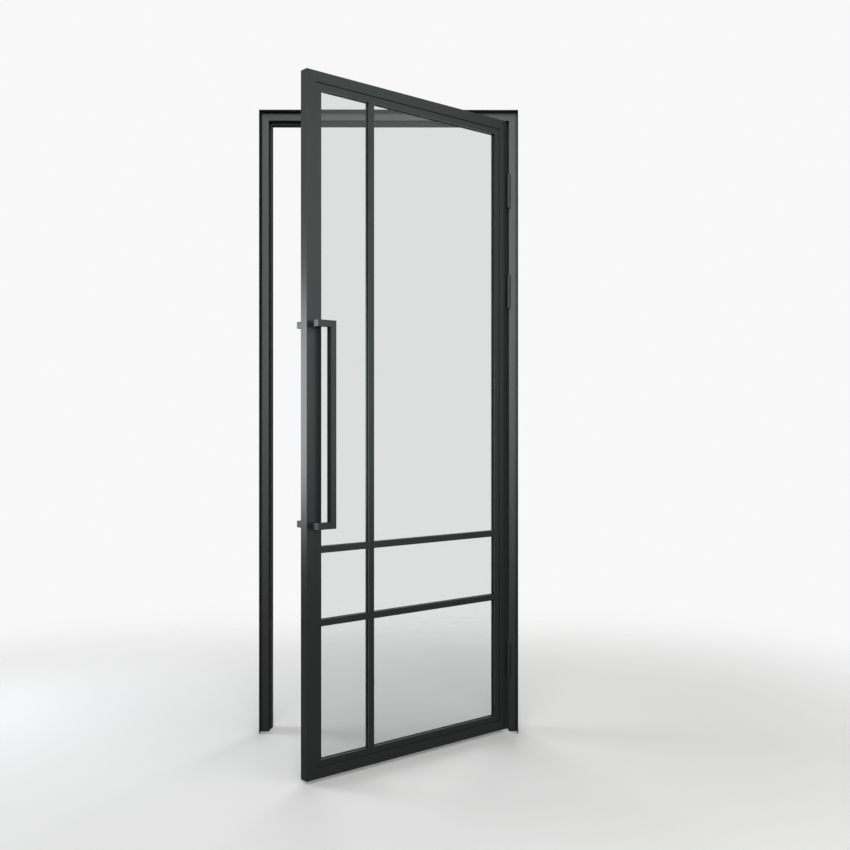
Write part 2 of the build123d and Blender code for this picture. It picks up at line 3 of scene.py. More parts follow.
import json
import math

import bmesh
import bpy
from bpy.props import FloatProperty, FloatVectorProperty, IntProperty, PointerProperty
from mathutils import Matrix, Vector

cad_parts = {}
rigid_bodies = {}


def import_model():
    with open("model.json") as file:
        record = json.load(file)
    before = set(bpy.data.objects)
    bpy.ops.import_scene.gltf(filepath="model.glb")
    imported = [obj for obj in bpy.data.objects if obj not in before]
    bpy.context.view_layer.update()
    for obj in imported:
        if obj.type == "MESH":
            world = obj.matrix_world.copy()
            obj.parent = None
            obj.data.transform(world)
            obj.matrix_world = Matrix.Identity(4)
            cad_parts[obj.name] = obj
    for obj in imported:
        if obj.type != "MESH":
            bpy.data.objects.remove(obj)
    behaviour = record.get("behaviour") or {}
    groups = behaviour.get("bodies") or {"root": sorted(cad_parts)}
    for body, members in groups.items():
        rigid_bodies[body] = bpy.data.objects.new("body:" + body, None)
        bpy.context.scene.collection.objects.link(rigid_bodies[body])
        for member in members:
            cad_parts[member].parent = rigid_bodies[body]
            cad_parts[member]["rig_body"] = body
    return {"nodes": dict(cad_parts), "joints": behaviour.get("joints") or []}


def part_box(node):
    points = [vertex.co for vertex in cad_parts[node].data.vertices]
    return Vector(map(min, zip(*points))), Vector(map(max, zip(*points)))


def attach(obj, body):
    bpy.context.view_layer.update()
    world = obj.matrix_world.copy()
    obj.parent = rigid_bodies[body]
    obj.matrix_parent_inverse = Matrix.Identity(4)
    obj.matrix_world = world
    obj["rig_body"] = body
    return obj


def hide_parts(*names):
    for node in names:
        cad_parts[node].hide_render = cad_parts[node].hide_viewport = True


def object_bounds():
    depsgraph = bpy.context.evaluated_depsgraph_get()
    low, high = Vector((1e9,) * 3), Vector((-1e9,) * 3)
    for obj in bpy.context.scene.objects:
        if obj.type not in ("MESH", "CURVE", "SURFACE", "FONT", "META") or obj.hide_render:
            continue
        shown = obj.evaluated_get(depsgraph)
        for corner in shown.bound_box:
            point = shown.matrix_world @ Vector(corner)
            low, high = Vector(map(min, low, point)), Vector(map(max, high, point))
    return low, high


bl_info = {
    "name": "Glass Door Finishes",
    "version": (1, 0, 0),
    "blender": (4, 5, 0),
    "location": "3D View > Sidebar > Glass Door",
    "description": "Finishes, fasteners and a plain studio for a glazed hinged door in its frame",
    "category": "Object",
}

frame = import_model()
cad_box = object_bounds()

# How far the leaf stands open at rest: from there its joint turns back by this angle to closed
open_angle = math.radians(-frame["joints"][0]["range_deg"][0])

# Which CAD nodes take each finish
FACES = ("front", "back")
HINGE_PLACES = ("top", "middle", "bottom")
FRAME_UPRIGHTS = ("frame_hinge_jamb", "frame_lock_jamb")
FRAME_ACROSS = ("frame_head",)
LEAF_UPRIGHTS = ("leaf_hinge_stile", "leaf_lock_stile")
LEAF_ACROSS = ("leaf_top_rail", "leaf_bottom_rail")
FLAT_UPRIGHTS = (
    "glazing_bead_hinge_stile",
    "glazing_bead_lock_stile",
    *(f"upright_bar_{face}" for face in FACES),
)
FLAT_ACROSS = (
    "glazing_bead_top_rail",
    "glazing_bead_bottom_rail",
    *(
        f"{level}_cross_bar_{side}_side_{face}"
        for level in ("lower", "upper")
        for side in ("lock", "hinge")
        for face in FACES
    ),
)
SEALS = ("door_seal_hinge_side", "door_seal_lock_side", "door_seal_head")

# Nearly all of a noise's values lie between these two
NOISE_LOW, NOISE_HIGH = 0.3, 0.7

# How a pattern is scaled along X, Y and Z: a small number draws it out that way
EVEN = (1.0, 1.0, 1.0)
UP_THE_MEMBER = (1.0, 1.0, 0.12)
ACROSS_THE_MEMBER = (0.12, 1.0, 1.0)
UP_THE_EXTRUSION = (1.0, 1.0, 0.05)
ROUND_THE_PIN = (0.2, 0.2, 1.0)

# Fixed values of the powder coating
COATING_REFRACTION = 1.5
COATING_ROUGHNESS_SPREAD = 0.03
WAVE_STRENGTH = 0.6

# Fixed values of the rubber; widths, depths and the blend from the leg's painted shade to the bulb
# are in metres
BLOOM_WIDTH = 0.03
BLOOM_STRENGTH = 0.18
RUBBER_GLOSS = 0.1
RUBBER_ROUGHNESS = 0.8
RUBBER_ROUGHNESS_SPREAD = 0.06
RUBBER_GRAIN_WIDTH = 0.0006
RUBBER_GRAIN_DEPTH = 0.00003
PAINTED_SHADE_BLEND = 0.0004

# Fixed values of the plastic; the grain's width and depth are in metres
PLASTIC_ROUGHNESS = 0.55
PLASTIC_GRAIN_STRENGTH = 0.1
PLASTIC_GRAIN_WIDTH = 0.0008
PLASTIC_GRAIN_DEPTH = 0.00002

# Fixed values of the bare metals; widths and depths are in metres
METAL_ROUGHNESS_SPREAD = 0.08
PATCH_WIDTH = 0.012
PATCH_STRENGTH = 0.06
TOOL_LINE_DEPTH = 0.00001

# Edges that turn by more than this stay sharp
SHARP_ANGLE = math.radians(35.0)

# In metres: points this close are merged, and a screw's outer face is level to within this
MERGE_DISTANCE = 1e-6
RIM_TOLERANCE = 1e-5

# Sides of a screw's socket
HEXAGON_SIDES = 6

# Lamps: the place, the point that it is aimed at, width and height, and the setting of its power
LAMPS = {
    "Overhead lamp": ((0.2, -1.9, 4.0), (0.0, 0.0, 1.0), (2.6, 1.4), "overhead_power"),
    "Front panel": ((0.1, -4.3, 2.35), (0.0, 0.0, 2.1), (2.8, 3.7), "front_power"),
    "Right panel": ((2.7, -1.7, 1.95), (0.0, -0.3, 1.75), (2.5, 2.7), "right_power"),
    "Left panel": ((-2.3, 0.32, 1.17), (-0.2, -0.5, 1.1), (1.0, 1.05), "left_power"),
    "Tall left panel": ((-2.6, 0.36, 1.9), (-0.2, -0.5, 1.5), (1.1, 2.6), "edge_power"),
    "Back panel": ((0.0, 4.0, 2.3), (0.0, 0.0, 1.4), (3.2, 3.0), "back_power"),
}

# The fill weakens backwards between these values of a direction's Y, and downwards between
# these of its Z
FILL_SIDE, FILL_BEHIND = 0.0, 0.6
FILL_LOW, FILL_LEVEL = -0.4, 0.1


class CoatingSettings(bpy.types.PropertyGroup):
    """Powder coating of the aluminium, the hinges and the handles."""

    colour: FloatVectorProperty(
        name="Colour",
        description="Anthracite of the coating",
        subtype="COLOR",
        size=3,
        min=0.0,
        max=1.0,
        default=(0.0145, 0.0185, 0.0175),
    )
    roughness: FloatProperty(
        name="Roughness",
        description="How much the coating blurs what it mirrors",
        subtype="FACTOR",
        min=0.0,
        max=1.0,
        default=0.36,
    )
    gloss: FloatProperty(
        name="Gloss",
        description="How strongly the coating mirrors",
        subtype="FACTOR",
        min=0.0,
        max=1.0,
        default=0.45,
    )
    sheen_tint: FloatVectorProperty(
        name="Sheen tint",
        description="Colour of what the coating mirrors",
        subtype="COLOR",
        size=3,
        min=0.0,
        max=1.0,
        default=(0.93, 1.00, 0.98),
    )
    wave_width: FloatProperty(
        name="Wave width",
        description="Width of the fine waves that the powder leaves as it flows",
        unit="LENGTH",
        default=0.0011,
    )
    wave_depth: FloatProperty(
        name="Wave depth",
        description="Depth of those waves",
        unit="LENGTH",
        default=0.00002,
    )
    cloud_width: FloatProperty(
        name="Cloud width",
        description="Width of the faint changes of shade along a member",
        unit="LENGTH",
        default=0.16,
    )
    cloud_strength: FloatProperty(
        name="Cloud strength",
        description="How much the shade changes",
        subtype="FACTOR",
        min=0.0,
        max=1.0,
        default=0.07,
    )


class GlazingSettings(bpy.types.PropertyGroup):
    """Glass, gaskets, door seals and the blocks under the glass."""

    tint: FloatVectorProperty(
        name="Tint",
        description="What the glass lets through",
        subtype="COLOR",
        size=3,
        min=0.0,
        max=1.0,
        default=(0.750, 0.775, 0.765),
    )
    refraction: FloatProperty(
        name="Refraction",
        description="Index of refraction of float glass",
        default=1.52,
    )
    gasket_colour: FloatVectorProperty(
        name="Gasket colour",
        description="Black rubber between glass and metal",
        subtype="COLOR",
        size=3,
        min=0.0,
        max=1.0,
        default=(0.012, 0.012, 0.012),
    )
    seal_colour: FloatVectorProperty(
        name="Seal colour",
        description="Grey rubber of the bulb that the closed leaf meets",
        subtype="COLOR",
        size=3,
        min=0.0,
        max=1.0,
        default=(0.055, 0.056, 0.055),
    )
    # Painted shade: the seal's leg in the rebate is darkened to this share of the bulb, standing
    # in for the rebate's shadow
    leg_painted_shade: FloatProperty(
        name="Leg shade",
        description="How bright the leg of a door seal is, as a share of its bulb",
        subtype="FACTOR",
        min=0.0,
        max=1.0,
        default=0.25,
    )
    block_colour: FloatVectorProperty(
        name="Block colour",
        description="Plastic of the blocks that carry the glass",
        subtype="COLOR",
        size=3,
        min=0.0,
        max=1.0,
        default=(0.06, 0.06, 0.065),
    )


class FastenerSettings(bpy.types.PropertyGroup):
    """Countersunk screws of the hinge plates."""

    socket_width: FloatProperty(
        name="Socket width",
        description="Width of the hexagon socket across its corners",
        unit="LENGTH",
        default=0.003,
    )
    socket_depth: FloatProperty(
        name="Socket depth",
        description="Depth of the hexagon socket",
        unit="LENGTH",
        default=0.0012,
    )
    shank_radius: FloatProperty(
        name="Shank radius",
        description="Radius of the screw behind its head",
        unit="LENGTH",
        default=0.0025,
    )
    rim_height: FloatProperty(
        name="Rim height",
        description="Height of the straight rim round the head",
        unit="LENGTH",
        default=0.0002,
    )
    sides: IntProperty(
        name="Sides",
        description="Sides of the round parts of a screw",
        min=12,
        default=40,
    )


class StudioSettings(bpy.types.PropertyGroup):
    """Floor, lamps and surroundings."""

    floor_colour: FloatVectorProperty(
        name="Floor colour",
        description="Pale floor",
        subtype="COLOR",
        size=3,
        min=0.0,
        max=1.0,
        default=(0.72, 0.72, 0.71),
    )
    surround_colour: FloatVectorProperty(
        name="Surround colour",
        description="Pale surroundings, as seen directly and through the glass",
        subtype="COLOR",
        size=3,
        min=0.0,
        max=1.0,
        default=(0.94, 0.94, 0.94),
    )
    bounce_colour: FloatVectorProperty(
        name="Bounce colour",
        description="Floor as the door's own surfaces see it",
        subtype="COLOR",
        size=3,
        min=0.0,
        max=1.0,
        default=(0.19, 0.19, 0.19),
    )
    fill_strength: FloatProperty(
        name="Fill strength",
        description="Even light from the viewer's side",
        min=0.0,
        default=0.21,
    )
    fill_behind: FloatProperty(
        name="Fill from behind",
        description="Share of the fill that comes from behind the door",
        subtype="FACTOR",
        min=0.0,
        max=1.0,
        default=0.35,
    )
    fill_below: FloatProperty(
        name="Fill from below",
        description="Share of the fill that comes from below the horizon",
        subtype="FACTOR",
        min=0.0,
        max=1.0,
        default=0.4,
    )
    overhead_power: FloatProperty(
        name="Overhead power",
        description="Soft lamp high in front of the door",
        unit="POWER",
        default=30.0,
    )
    front_power: FloatProperty(
        name="Front power",
        description="Tall soft panel behind the viewer",
        unit="POWER",
        default=150.0,
    )
    right_power: FloatProperty(
        name="Right power",
        description="Tall soft panel that the open leaf mirrors",
        unit="POWER",
        default=31.0,
    )
    left_power: FloatProperty(
        name="Left power",
        description="Small soft panel that the leaf's free edge mirrors",
        unit="POWER",
        default=22.5,
    )
    left_colour: FloatVectorProperty(
        name="Left colour",
        description="Cool light of the small panel on the left",
        subtype="COLOR",
        size=3,
        min=0.0,
        max=1.0,
        default=(0.90, 0.93, 1.0),
    )
    edge_power: FloatProperty(
        name="Edge power",
        description="Tall faint panel on the left, along the whole free edge",
        unit="POWER",
        default=7.0,
    )
    back_power: FloatProperty(
        name="Back power",
        description="Wide soft panel behind the door",
        unit="POWER",
        default=165.0,
    )


class CameraSettings(bpy.types.PropertyGroup):
    """Eye level view from the pull side."""

    place: FloatVectorProperty(
        name="Place",
        description="Where the camera stands",
        subtype="TRANSLATION",
        unit="LENGTH",
        size=3,
        default=(0.1136, -3.574, 1.067),
    )
    turn: FloatProperty(
        name="Turn",
        description="Turn from straight ahead, to the right",
        subtype="ANGLE",
        default=math.radians(0.196),
    )
    width_of_view: FloatProperty(
        name="Width of view",
        description="Angle that the picture takes in",
        subtype="ANGLE",
        default=math.radians(45.0),
    )


class GlassDoorSettings(bpy.types.PropertyGroup):
    """All the sizes and colours of the glass door's finishes."""

    coating: PointerProperty(type=CoatingSettings)
    glazing: PointerProperty(type=GlazingSettings)
    fasteners: PointerProperty(type=FastenerSettings)
    studio: PointerProperty(type=StudioSettings)
    camera: PointerProperty(type=CameraSettings)


class Tree:
    """A tree of nodes, with short calls that add and join them."""

    def __init__(self, tree):
        self.tree = tree

    def add(self, kind, inputs=None, **settings):
        """Adds a node; an input is a value, the socket that feeds it, or a list of sockets."""
        node = self.tree.nodes.new(kind)
        for name, value in settings.items():
            setattr(node, name, value)
        for name, value in (inputs or {}).items():
            for feed in value if isinstance(value, list) else [value]:
                if isinstance(feed, bpy.types.NodeSocket):
                    self.tree.links.new(feed, node.inputs[name])
                else:
                    node.inputs[name].default_value = feed
        return node

    def reckon(self, operation, first, second):
        """The result of a Math node's operation on two values or sockets."""
        return self.add("ShaderNodeMath", {0: first, 1: second}, operation=operation).outputs[0]

    def times(self, first, second):
        """The product of two values or sockets."""
        return self.reckon("MULTIPLY", first, second)


class Finish(Tree):
    """The shader tree of a material or a world."""

    def __init__(self, owner):
        owner.use_nodes = True
        owner.node_tree.nodes.clear()
        super().__init__(owner.node_tree)
        self.owner = owner

    def place(self, turn=0.0, stretch=EVEN):
        """Object coordinates in a piece's own directions, scaled along them."""
        here = self.add("ShaderNodeTexCoord").outputs["Object"]
        own = self.add(
            "ShaderNodeMapping",
            {"Vector": here, "Rotation": (0.0, 0.0, turn)},
            vector_type="TEXTURE",
        )
        return self.add(
            "ShaderNodeMapping",
            {"Vector": own.outputs[0], "Scale": stretch},
            vector_type="POINT",
        ).outputs[0]

    def noise(self, place, width, detail=2.0):
        """Soft noise whose features are about the given width."""
        return self.add(
            "ShaderNodeTexNoise",
            {"Vector": place, "Scale": 1.0 / width, "Detail": detail},
        ).outputs["Fac"]

    def span(self, value, start, end, low=0.0, high=1.0, curve="LINEAR"):
        """Spreads a value that lies between start and end over low to high."""
        return self.add(
            "ShaderNodeMapRange",
            {"Value": value, "From Min": start, "From Max": end, "To Min": low, "To Max": high},
            interpolation_type=curve,
        ).outputs["Result"]

    def around(self, noise, middle, spread):
        """Lets a noise move a number up and down from its middle by the spread."""
        return self.span(noise, NOISE_LOW, NOISE_HIGH, middle - spread, middle + spread)

    def scaled(self, colour, brightness):
        """A colour times a brightness."""
        return self.add(
            "ShaderNodeVectorMath",
            {0: tuple(colour), "Scale": brightness},
            operation="SCALE",
        ).outputs[0]

    def bump(self, height, depth, strength=0.5):
        """A normal raised by a height between 0 and 1."""
        return self.add(
            "ShaderNodeBump", {"Height": height, "Distance": depth, "Strength": strength}
        ).outputs[0]

    def mix(self, share, first, second):
        """Two shaders mixed: all of the first at a share of 0, all of the second at 1."""
        return self.add("ShaderNodeMixShader", {"Fac": share, 1: first, 2: second}).outputs[0]

    def by_ray(self, seen, unseen):
        """Mixes the shader of what is seen, also by way of the glass, with one for other rays."""
        rays = self.add("ShaderNodeLightPath").outputs
        shown = rays["Is Camera Ray"]
        for name in ("Is Singular Ray", "Is Transmission Ray"):
            shown = self.reckon("MAXIMUM", shown, rays[name])
        return self.mix(shown, unseen, seen)

    def show(self, shader, output="ShaderNodeOutputMaterial"):
        """Ends the tree in a shader."""
        self.add(output, {"Surface": shader})

    def surface(self, inputs):
        """Ends the tree in one Principled shader."""
        self.show(self.add("ShaderNodeBsdfPrincipled", inputs).outputs[0])


def powder_coating(name, coating, turn=0.0, stretch=EVEN):
    """Satin powder coating: fine flow waves, and faint clouds drawn out along the member."""
    finish = Finish(bpy.data.materials.new(name))
    clouds = finish.noise(finish.place(turn, stretch), coating.cloud_width, detail=3.0)
    waves = finish.noise(finish.place(turn), coating.wave_width, detail=1.0)
    brightness = finish.around(clouds, 1.0, coating.cloud_strength)
    finish.surface(
        {
            "Base Color": finish.scaled(coating.colour, brightness),
            "Roughness": finish.around(clouds, coating.roughness, COATING_ROUGHNESS_SPREAD),
            "Normal": finish.bump(waves, coating.wave_depth, WAVE_STRENGTH),
            "IOR": COATING_REFRACTION,
            "Specular IOR Level": coating.gloss,
            "Specular Tint": (*coating.sheen_tint, 1.0),
        }
    )
    return finish.owner


def clear_glass(glazing):
    """Polished float glass that lets the lamps through."""
    finish = Finish(bpy.data.materials.new("Clear float glass"))
    glass = finish.add(
        "ShaderNodeBsdfPrincipled",
        {
            "Base Color": (*glazing.tint, 1.0),
            "Roughness": 0.0,
            "IOR": glazing.refraction,
            "Transmission Weight": 1.0,
        },
    )
    one_face = tuple(math.sqrt(channel) for channel in glazing.tint)
    lamp_light = finish.add("ShaderNodeBsdfTransparent", {"Color": (*one_face, 1.0)})
    in_shadow = finish.add("ShaderNodeLightPath").outputs["Is Shadow Ray"]
    finish.show(finish.mix(in_shadow, glass.outputs[0], lamp_light.outputs[0]))
    return finish.owner


def rubber(name, colour, leg_end=None, leg_painted_shade=1.0):
    """Matt extruded rubber with a faint bloom; a leg that ends at the given depth gets painted
    shade.
    """
    finish = Finish(bpy.data.materials.new(name))
    here = finish.place()
    bloom = finish.noise(here, BLOOM_WIDTH, detail=4.0)
    grain = finish.noise(here, RUBBER_GRAIN_WIDTH)
    brightness = finish.around(bloom, 1.0, BLOOM_STRENGTH)
    if leg_end is not None:
        # Painted shade: the leg in front of leg_end is darkened, standing in for the shadow deep
        # in the rebate
        depth = finish.add("ShaderNodeSeparateXYZ", {0: here}).outputs["Y"]
        out_of_painted_shade = finish.span(depth, leg_end - PAINTED_SHADE_BLEND, leg_end, leg_painted_shade, 1.0)
        brightness = finish.times(brightness, out_of_painted_shade)
    finish.surface(
        {
            "Base Color": finish.scaled(colour, brightness),
            "Roughness": finish.around(bloom, RUBBER_ROUGHNESS, RUBBER_ROUGHNESS_SPREAD),
            "Specular IOR Level": RUBBER_GLOSS,
            "Normal": finish.bump(grain, RUBBER_GRAIN_DEPTH),
        }
    )
    return finish.owner


def moulded_plastic(name, colour):
    """Hard moulded plastic with a fine grain."""
    finish = Finish(bpy.data.materials.new(name))
    grain = finish.noise(finish.place(), PLASTIC_GRAIN_WIDTH)
    finish.surface(
        {
            "Base Color": finish.scaled(colour, finish.around(grain, 1.0, PLASTIC_GRAIN_STRENGTH)),
            "Roughness": PLASTIC_ROUGHNESS,
            "Normal": finish.bump(grain, PLASTIC_GRAIN_DEPTH),
        }
    )
    return finish.owner


def bare_metal(name, colour, roughness, line_width, stretch=EVEN):
    """Bare metal with soft patches, and fine tool lines drawn out by the stretch."""
    finish = Finish(bpy.data.materials.new(name))
    lines = finish.noise(finish.place(stretch=stretch), line_width, detail=3.0)
    patches = finish.noise(finish.place(), PATCH_WIDTH)
    finish.surface(
        {
            "Base Color": finish.scaled(colour, finish.around(patches, 1.0, PATCH_STRENGTH)),
            "Metallic": 1.0,
            "Roughness": finish.around(lines, roughness, METAL_ROUGHNESS_SPREAD),
            "Normal": finish.bump(lines, TOOL_LINE_DEPTH),
        }
    )
    return finish.owner


def merged_mesh(node):
    """A copy of a CAD node's mesh with its loose triangles joined."""
    mesh = frame["nodes"][node].data.copy()
    bm = bmesh.new()
    bm.from_mesh(mesh)
    bmesh.ops.remove_doubles(bm, verts=bm.verts, dist=MERGE_DISTANCE)
    bm.to_mesh(mesh)
    bm.free()
    return mesh


def plain_mesh(piece):
    """Turns a piece with modifiers into one with the finished mesh and no modifier."""
    evaluated = piece.evaluated_get(bpy.context.evaluated_depsgraph_get())
    mesh = bpy.data.meshes.new_from_object(evaluated)
    piece.modifiers.clear()
    piece.data = mesh
    mesh.name = piece.name


def soften(mesh):
    """Shades a mesh smoothly between its sharp edges."""
    mesh.shade_smooth()
    mesh.set_sharp_from_angle(angle=SHARP_ANGLE)


def new_piece(name, mesh):
    """Links a new object that holds the mesh."""
    piece = bpy.data.objects.new(name, mesh)
    bpy.context.scene.collection.objects.link(piece)
    return piece


def seat(piece, like):
    """Makes a piece stand for a CAD node: hides the node and puts the piece on the same body."""
    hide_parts(like)
    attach(piece, frame["nodes"][like]["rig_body"])


def cover(piece, material):
    """Gives a new piece or a CAD node the material, in place of any that it has."""
    piece.data.materials.clear()
    piece.data.materials.append(material)


def finish_nodes(nodes, material):
    """Finishes CAD nodes that keep their own flat faces."""
    for node in nodes:
        cover(frame["nodes"][node], material)


def smooth_pieces(nodes, material):
    """Stands smoothly shaded copies in for CAD nodes with rounded edges or barrels."""
    for node in nodes:
        mesh = merged_mesh(node)
        soften(mesh)
        piece = new_piece(f"{node}_finished", mesh)
        weighting = piece.modifiers.new("Flat faces stay flat", "WEIGHTED_NORMAL")
        weighting.keep_sharp = True
        plain_mesh(piece)
        cover(piece, material)
        seat(piece, node)


def solids_of(node):
    """Lowest and highest corners of each separate solid in a CAD node."""
    bm = bmesh.new()
    bm.from_mesh(merged_mesh(node))
    found = []
    waiting = set(bm.verts)
    while waiting:
        # The group grows while it is gone through, until it holds all that joins on
        group = [waiting.pop()]
        for vertex in group:
            for edge in vertex.link_edges:
                other = edge.other_vert(vertex)
                if other in waiting:
                    waiting.remove(other)
                    group.append(other)
        points = [vertex.co.copy() for vertex in group]
        low = Vector(min(point[axis] for point in points) for axis in range(3))
        high = Vector(max(point[axis] for point in points) for axis in range(3))
        found.append((low, high))
    bm.free()
    return sorted(found, key=lambda box: tuple(box[0] + box[1]))


class PieceTree(Tree):
    """A Geometry Nodes tree with named inputs."""

    def __init__(self, name, inputs):
        super().__init__(bpy.data.node_groups.new(name, "GeometryNodeTree"))
        self.tree.is_modifier = True
        for way in ("INPUT", "OUTPUT"):
            self.new_socket("Geometry", way, "Geometry")
        self.identifiers = {
            label: self.new_socket(label, "INPUT", kind).identifier
            for label, kind in inputs.items()
        }
        self.given = self.tree.nodes.new("NodeGroupInput").outputs

    def new_socket(self, label, way, kind):
        """Adds an input or output to the tree."""
        return self.tree.interface.new_socket(
            label, in_out=way, socket_type=f"NodeSocket{kind}"
        )

    def disc(self, sides, radius):
        """A flat disc at the origin that faces up."""
        return self.add(
            "GeometryNodeMeshCircle", {"Vertices": sides, "Radius": radius}, fill_type="NGON"
        ).outputs["Mesh"]

    def cylinder(self, sides, radius, depth, ends="NGON"):
        """A cylinder or prism centred on the origin, closed unless its ends are NONE."""
        return self.add(
            "GeometryNodeMeshCylinder",
            {"Vertices": sides, "Radius": radius, "Depth": depth},
            fill_type=ends,
        ).outputs["Mesh"]

    def lowered(self, geometry, drop):
        """Geometry moved down by a drop."""
        offset = self.add("ShaderNodeCombineXYZ", {"Z": self.times(drop, -1.0)}).outputs[0]
        return self.add(
            "GeometryNodeTransform", {"Geometry": geometry, "Translation": offset}
        ).outputs[0]

    def end(self, geometry, material):
        """Ends the tree in real copies with their material."""
        real = self.add("GeometryNodeRealizeInstances", {"Geometry": geometry}).outputs[0]
        made = self.add("GeometryNodeSetMaterial", {"Geometry": real, "Material": material})
        self.add("NodeGroupOutput", {"Geometry": made.outputs[0]})

    def run_on(self, piece, values):
        """Runs the tree on a piece with the given inputs, and keeps the result as its mesh."""
        modifier = piece.modifiers.new(self.tree.name, "NODES")
        modifier.node_group = self.tree
        for label, value in values.items():
            modifier[self.identifiers[label]] = value
        plain_mesh(piece)


def screw_tree():
    """Tree that stands a countersunk hexagon socket screw at each point, facing the given way."""
    tree = PieceTree(
        "Countersunk socket screws",
        {
            "Head radius": "Float",
            "Head depth": "Float",
            "Rim height": "Float",
            "Shank radius": "Float",
            "Length": "Float",
            "Socket radius": "Float",
            "Socket depth": "Float",
            "Sides": "Int",
            "Facing": "Rotation",
            "Material": "Material",
        },
    )
    given = tree.given
    sides = given["Sides"]
    head_depth = given["Head depth"]
    rim_height = given["Rim height"]

    # One closed skin that hangs down from its outer face, which lies at the origin
    top = tree.disc(sides, given["Head radius"])
    rim = tree.cylinder(sides, given["Head radius"], rim_height, ends="NONE")
    rim = tree.lowered(rim, tree.times(rim_height, 0.5))
    cone = tree.add(
        "GeometryNodeMeshCone",
        {
            "Vertices": sides,
            "Radius Top": given["Head radius"],
            "Radius Bottom": given["Shank radius"],
            "Depth": tree.reckon("SUBTRACT", head_depth, rim_height),
        },
        fill_type="NONE",
    ).outputs["Mesh"]
    cone = tree.lowered(cone, head_depth)
    shank_length = tree.reckon("SUBTRACT", given["Length"], head_depth)
    shank = tree.cylinder(sides, given["Shank radius"], shank_length, ends="NONE")
    both_ends = tree.reckon("ADD", given["Length"], head_depth)
    shank = tree.lowered(shank, tree.times(both_ends, 0.5))
    bottom = tree.disc(sides, given["Shank radius"])
    bottom = tree.add("GeometryNodeFlipFaces", {"Mesh": bottom}).outputs["Mesh"]
    bottom = tree.lowered(bottom, given["Length"])
    skin = tree.add("GeometryNodeJoinGeometry", {0: [top, rim, cone, shank, bottom]}).outputs[0]
    body = tree.add("GeometryNodeMergeByDistance", {"Geometry": skin, "Distance": MERGE_DISTANCE})

    # Half of the prism that cuts the socket stands above the outer face
    prism_height = tree.times(given["Socket depth"], 2.0)
    socket = tree.cylinder(HEXAGON_SIDES, given["Socket radius"], prism_height)
    screw = tree.add(
        "GeometryNodeMeshBoolean",
        {"Mesh 1": body.outputs["Geometry"], "Mesh 2": socket},
        operation="DIFFERENCE",
        solver="EXACT",
    )
    placed = tree.add(
        "GeometryNodeInstanceOnPoints",
        {
            "Points": given["Geometry"],
            "Instance": screw.outputs["Mesh"],
            "Rotation": given["Facing"],
        },
    )
    tree.end(placed.outputs[0], given["Material"])
    return tree


class DressingOperator(bpy.types.Operator):
    """Base of the operators that dress the door."""

    bl_options = {"REGISTER", "UNDO"}


class GLASSDOOR_OT_frame(DressingOperator):
    """Coats the mitred frame: both jambs and the head."""

    bl_idname = "glass_door.frame"
    bl_label = "Frame"

    def execute(self, context):
        coating = context.scene.glass_door.coating
        upright = powder_coating("Frame coating, upright", coating, stretch=UP_THE_MEMBER)
        across = powder_coating("Frame coating, across", coating, stretch=ACROSS_THE_MEMBER)
        smooth_pieces(FRAME_UPRIGHTS, upright)
        smooth_pieces(FRAME_ACROSS, across)
        return {"FINISHED"}


class GLASSDOOR_OT_leaf(DressingOperator):
    """Coats the leaf: stiles, rails, beads and glazing bars."""

    bl_idname = "glass_door.leaf"
    bl_label = "Leaf"

    def execute(self, context):
        coating = context.scene.glass_door.coating
        upright = powder_coating("Leaf coating, upright", coating, open_angle, UP_THE_MEMBER)
        across = powder_coating("Leaf coating, across", coating, open_angle, ACROSS_THE_MEMBER)
        smooth_pieces(LEAF_UPRIGHTS, upright)
        smooth_pieces(LEAF_ACROSS, across)
        finish_nodes(FLAT_UPRIGHTS, upright)
        finish_nodes(FLAT_ACROSS, across)
        return {"FINISHED"}


class GLASSDOOR_OT_handles(DressingOperator):
    """Coats the two pull handles and their standoffs, and finishes the steel that holds them."""

    bl_idname = "glass_door.handles"
    bl_label = "Pull Handles"

    def execute(self, context):
        coating = powder_coating("Handle coating", context.scene.glass_door.coating, open_angle)
        steel = bare_metal(
            "Stud steel", colour=(0.5, 0.5, 0.5), roughness=0.35, line_width=0.0008
        )
        for face in FACES:
            smooth_pieces((f"pull_handle_{face}", f"handle_standoffs_{face}"), coating)
        smooth_pieces(("handle_studs", "handle_sleeves", "handle_grub_screws"), steel)
        return {"FINISHED"}


class GLASSDOOR_OT_hinges(DressingOperator):
    """Finishes the hinge halves, pins and washers."""

    bl_idname = "glass_door.hinges"
    bl_label = "Hinges"

    def execute(self, context):
        coating = powder_coating("Hinge coating", context.scene.glass_door.coating)
        steel = bare_metal(
            "Ground pin steel",
            colour=(0.6, 0.6, 0.6),
            roughness=0.22,
            line_width=0.0004,
            stretch=ROUND_THE_PIN,
        )
        acetal = moulded_plastic("Acetal", colour=(0.03, 0.03, 0.03))
        for place in HINGE_PLACES:
            smooth_pieces((f"hinge_{place}_frame_half", f"hinge_{place}_leaf_half"), coating)
        smooth_pieces(("hinge_pins",), steel)
        smooth_pieces(("hinge_washers",), acetal)
        return {"FINISHED"}


